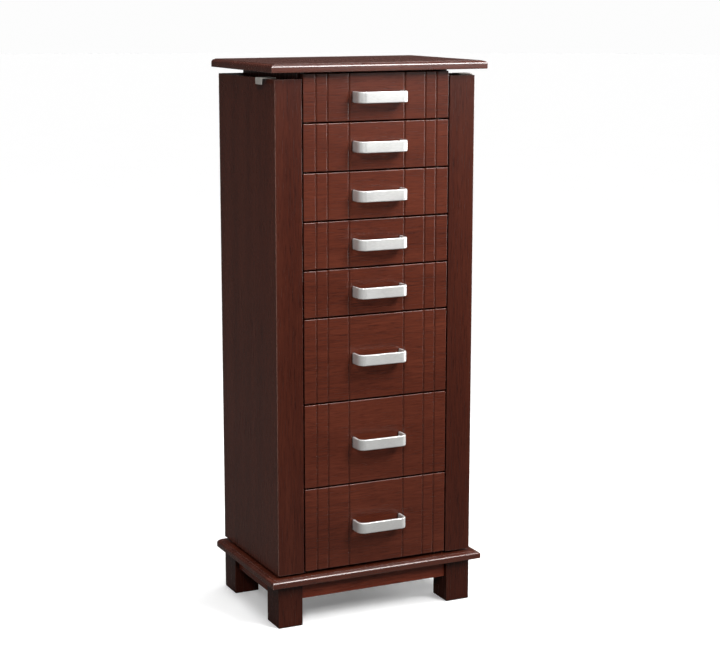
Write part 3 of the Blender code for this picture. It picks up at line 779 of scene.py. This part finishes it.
def make_door_boards(side_name, side):
    """The pilaster and the side panel are mitred together, and their shared arris is rounded."""
    low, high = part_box(f"{side_name}_door_pilaster")
    panel_low, panel_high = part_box(f"{side_name}_door_panel")
    outside = max(abs(panel_low.x), abs(panel_high.x))
    inner_face = min(abs(panel_low.x), abs(panel_high.x))
    inner_edge = min(abs(low.x), abs(high.x))
    radius = ARRIS_RADIUS
    corner = (outside - radius, low.y + radius)
    pilaster = arc((inner_edge + radius, low.y + radius), radius, 180, 270)
    pilaster += arc(corner, radius, -90, -45)
    pilaster += [(inner_face, low.y + DOOR_BOARD), (inner_edge, low.y + DOOR_BOARD)]
    shift = MITRE_LINE
    panel = [(across, along + shift) for across, along in arc(corner, radius, -45, 0)]
    panel += [
        (outside, panel_high.y - END_RADIUS),
        (outside - END_RADIUS, panel_high.y),
        (inner_face, panel_high.y),
        (inner_face, low.y + DOOR_BOARD + shift),
    ]
    for part, outline in (("pilaster", pilaster), ("panel", panel)):
        node = f"{side_name}_door_{part}"
        outline = [(side * across, along) for across, along in outline]
        board = outline_board(f"board_{node}", outline, low.z, high.z)
        # Painted shade: the pilasters take a darker copy of the cherry
        tones = CHERRY_PILASTER_PAINTED_SHADE if part == "pilaster" else CHERRY
        finished(board, f"{side_name}_door", board_material(node, "z", tones), "cherry", node)


def make_finger_pull(side_name, side):
    node = f"{side_name}_door_finger_pull"
    low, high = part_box(node)
    outer, inner = (low.x, high.x) if side < 0 else (high.x, low.x)
    half = TAB_THICKNESS / 2
    corners = [(inner, high.z - half), (outer - side * half, high.z - half), (outer - side * half, low.z)]
    path = rounded(corners, TAB_BEND - half, 6)
    tab = bent_strip(
        f"folded_{node}",
        path,
        TAB_THICKNESS,
        high.y - low.y,
        lambda point, across: (point.x, low.y + across, point.y),
        TAB_EDGE,
    )
    finished(tab, f"{side_name}_door", MATERIALS["steel"], "steel", node)


def make_lining_cards(side_name, side):
    """Velvet-covered cards on both sides of the necklace compartment; the door's ends below the hook rail."""
    rail_low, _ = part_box(f"{side_name}_door_hook_rail")
    panel_low, panel_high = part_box(f"{side_name}_door_panel")
    wall_low, wall_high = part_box(f"case_wall_{side_name}")
    _, catch_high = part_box(f"door_catch_{side_name}")
    door_face = min(abs(panel_low.x), abs(panel_high.x)) - GAP
    wall_face = max(abs(wall_low.x), abs(wall_high.x)) + GAP
    near = catch_high.y + CARD_MARGIN
    far = wall_high.y - 3 * CARD_MARGIN
    bottom = panel_low.z + CARD_MARGIN
    door = f"{side_name}_door"
    cards = (
        (f"{door}_card", door, door_face - CARD_THICKNESS, rail_low.z - CARD_MARGIN),
        (f"{side_name}_wall_card", "case", wall_face, panel_high.z - CARD_MARGIN),
    )
    for name, body, inside, top in cards:
        edges = sorted((side * inside, side * (inside + CARD_THICKNESS)))
        card = rounded_block(name, (edges[0], near, bottom), (edges[1], far, top), CARD_EDGE, 2)
        finished(card, body, MATERIALS["velvet"], "birch")


def make_doors():
    for side_name, side in (("left", -1), ("right", 1)):
        make_door_boards(side_name, side)
        keep_cad(f"{side_name}_door_hook_rail", MATERIALS["nickel"])
        make_finger_pull(side_name, side)
        make_lining_cards(side_name, side)


def screw_head():
    """A low domed head with a cross recess, facing +Z."""
    bm = bmesh.new()
    profile = arc((0, 0), 1.0, first=0, last=80, steps=5)
    rows = []
    for share, rise in profile:
        turns = [4 * QUARTER * index / SCREW_AROUND for index in range(SCREW_AROUND)]
        reach = SCREW_RADIUS * share
        height = SCREW_RISE * rise
        rows.append([bm.verts.new((reach * math.cos(t), reach * math.sin(t), height)) for t in turns])
    for first, second in zip(rows, rows[1:]):
        for index in range(SCREW_AROUND):
            after = (index + 1) % SCREW_AROUND
            bm.faces.new((first[index], first[after], second[after], second[index]))
    bm.faces.new(rows[0])
    bm.faces.new(rows[-1])
    head = mesh_piece("screw_head", bm)
    recess = bmesh.new()
    above = 2 * SCREW_RISE
    for reach_x, reach_y in ((SCREW_SLOT_REACH, SCREW_SLOT / 2), (SCREW_SLOT / 2, SCREW_SLOT_REACH)):
        add_block(recess, (-reach_x, -reach_y, SCREW_SLOT_FLOOR), (reach_x, reach_y, above))
    cutter = mesh_piece("screw_recess", recess)
    for obj in (head, cutter):
        bpy.context.scene.collection.objects.link(obj)
    cut = head.modifiers.new("recess", "BOOLEAN")
    cut.object = cutter
    cut.solver = "EXACT"
    cut.use_self = True
    applied(head)
    mesh = head.data
    bpy.data.objects.remove(cutter)
    bpy.data.objects.remove(head)
    return mesh


def leaf_screws(node, body, head):
    """Screw heads along a hinge leaf, on its back."""
    low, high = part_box(node)
    _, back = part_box("back_board")
    along_y = back.y + GAP + LEAF_THICKNESS
    middle = (low + high) / 2
    if node.startswith("lid"):
        up = high.z - LID_LEAF_INSET if node.endswith("lid_leaf") else low.z + LID_LEAF_INSET
        places = [(middle.x + across, along_y, up) for across in LID_SCREWS]
    else:
        side = math.copysign(1, middle.x)
        outwards = max(abs(low.x), abs(high.x)) - DOOR_LEAF_INSET
        inwards = min(abs(low.x), abs(high.x)) + CASE_LEAF_INSET
        across = side * (outwards if node.endswith("door_leaf") else inwards)
        places = [(across, along_y, middle.z + up) for up in DOOR_SCREWS]
    bm = bmesh.new()
    for number, place in enumerate(places):
        first = len(bm.verts)
        bm.from_mesh(head)
        bm.verts.ensure_lookup_table()
        turn = Matrix.Rotation(-QUARTER, 4, "X") @ Matrix.Rotation(SCREW_TURN * number + middle.z, 4, "Z")
        bmesh.ops.transform(bm, matrix=Matrix.Translation(place) @ turn, verts=bm.verts[first:])
    screws = mesh_piece(f"{node}_screws", bm)
    finished(screws, body, MATERIALS["screw"], "nickel")


def make_hinges():
    head = screw_head()
    for name, nodes in frame["record"]["behaviour"]["bodies"].items():
        for node in nodes:
            if "hinge" in node:
                keep_cad(node, MATERIALS["nickel"])
                leaf_screws(node, name, head)


# ---------------------------------------------------------------- lid


def make_mirror():
    """Plate glass, bevelled all round on the side that faces down when the lid is shut."""
    low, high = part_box("lid_mirror")
    bm = bmesh.new()
    add_block(bm, low, high)
    shown = min(bm.faces, key=lambda face: face.calc_center_median().z)
    bmesh.ops.inset_region(bm, faces=[shown], thickness=MIRROR_BEVEL)
    raised = set(shown.verts)
    rim = [vert for vert in bm.verts if vert not in raised and abs(vert.co.z - low.z) < SAME_PLACE]
    bmesh.ops.translate(bm, vec=(0, 0, MIRROR_BEVEL_DROP), verts=rim)
    glass = mesh_piece("bevelled_mirror", bm)
    finished(glass, "lid", MATERIALS["mirror"], "mirror", "lid_mirror")


def make_mirror_trim():
    """Four thin strips, mitred round the glass."""
    low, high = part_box("lid_mirror")
    top = high.z
    middle = (low + high) / 2
    half_x = (high.x - low.x) / 2 + GAP
    half_y = (high.y - low.y) / 2 + GAP
    strips = (("front", True, -1), ("back", True, 1), ("left", False, -1), ("right", False, 1))
    for name, along_x, sign in strips:
        long_half, away = (half_x, half_y) if along_x else (half_y, half_x)
        outline = [
            (-long_half, away),
            (long_half, away),
            (long_half + MIRROR_TRIM, away + MIRROR_TRIM),
            (-long_half - MIRROR_TRIM, away + MIRROR_TRIM),
        ]
        if along_x:
            outline = [(middle.x + share, middle.y + sign * out) for share, out in outline]
        else:
            outline = [(middle.x + sign * out, middle.y + share) for share, out in outline]
        strip = outline_board(f"mirror_trim_{name}", outline, low.z - TRIM_PROUD, top)
        grain = "x" if along_x else "y"
        finished(strip, "lid", board_material(f"mirror_trim_{name}", grain), "cherry_lid")


def make_lid():
    moulded_board("lid_board", "lid")
    make_mirror()
    make_mirror_trim()


# ---------------------------------------------------------------- studio


def make_floor():
    bm = bmesh.new()
    bmesh.ops.create_circle(bm, cap_ends=True, radius=FLOOR_RADIUS, segments=96)
    floor = mesh_piece("studio_floor", bm)
    bpy.context.scene.collection.objects.link(floor)
    floor.data.materials.append(studio_floor("pale_floor"))


def area_light(name, place, target, size, power, beam=180):
    light = bpy.data.lights.new(name, "AREA")
    light.shape = "RECTANGLE"
    light.size, light.size_y = size
    light.energy = power
    light.spread = math.radians(beam)
    obj = bpy.data.objects.new(name, light)
    obj.location = place
    obj.rotation_mode = "QUATERNION"
    obj.rotation_quaternion = (Vector(target) - Vector(place)).to_track_quat("-Z", "Y")
    obj.visible_camera = False
    bpy.context.scene.collection.objects.link(obj)


def make_world(seen, light):
    """A pale surround to the camera, and a dimmer one as light."""
    world = bpy.data.worlds.new("studio")
    bpy.context.scene.world = world
    world.use_nodes = True
    tree = world.node_tree
    shader = tree.nodes["Background"]
    shader.inputs["Color"].default_value = (1, 1, 1, 1)
    path = tree.nodes.new("ShaderNodeLightPath")
    node = tree.nodes.new("ShaderNodeMapRange")
    node.inputs["To Min"].default_value = light
    node.inputs["To Max"].default_value = seen
    tree.links.new(path.outputs["Is Camera Ray"], node.inputs["Value"])
    tree.links.new(node.outputs["Result"], shader.inputs["Strength"])


def make_camera():
    data = bpy.data.cameras.new("camera")
    data.lens = CAMERA_LENS
    data.sensor_width = 36
    data.shift_x, data.shift_y = CAMERA_SHIFT
    camera = bpy.data.objects.new("camera", data)
    camera.location = CAMERA_PLACE
    camera.rotation_euler = (QUARTER - math.radians(CAMERA_DOWN), 0, math.radians(-CAMERA_RIGHT))
    bpy.context.scene.collection.objects.link(camera)
    bpy.context.scene.camera = camera


def overhead_light(power, angle, tilt):
    light = bpy.data.lights.new("overhead", "SUN")
    light.energy = power
    light.angle = math.radians(angle)
    obj = bpy.data.objects.new("overhead", light)
    obj.rotation_euler = (math.radians(tilt), 0, 0)
    bpy.context.scene.collection.objects.link(obj)


def make_studio():
    bpy.context.scene.view_settings.view_transform = "Standard"
    make_floor()
    make_world(seen=SURROUND_SEEN, light=SURROUND_LIGHT)
    overhead_light(power=2.5, angle=50, tilt=3)
    # name, place, where it points, size, watts, beam in degrees
    area_light("key", (1.0, -1.7, 2.3), (0, -0.1, 1.0), (1.0, 1.0), 14, 75)
    area_light("front_fill", (1.35, -2.45, 1.35), (0, -0.1, 0.95), (0.9, 0.9), 0.55, 60)
    area_light("right_edge", (2.3, -0.45, 1.1), (0.1, -0.12, 0.8), (0.6, 1.8), 8, 60)
    area_light("left_edge", (-1.7, -3.0, 2.3), (-0.1, -0.12, 0.8), (0.5, 0.5), 5, 50)
    area_light("back_fill", (2.7, 1.9, 0.9), (0, 0.1, 0.6), (1.4, 1.4), 7, 90)
    area_light("side_fill", (-2.4, -0.6, 1.6), (0, 0, 0.6), (1.2, 1.6), 9)
    make_camera()


def main():
    make_feet_and_aprons()
    make_case()
    for number in range(1, DRAWERS + 1):
        make_drawer_front(number)
        make_pull(number)
        make_drawer_inside(number)
    make_doors()
    make_hinges()
    make_lid()
    make_studio()


main()
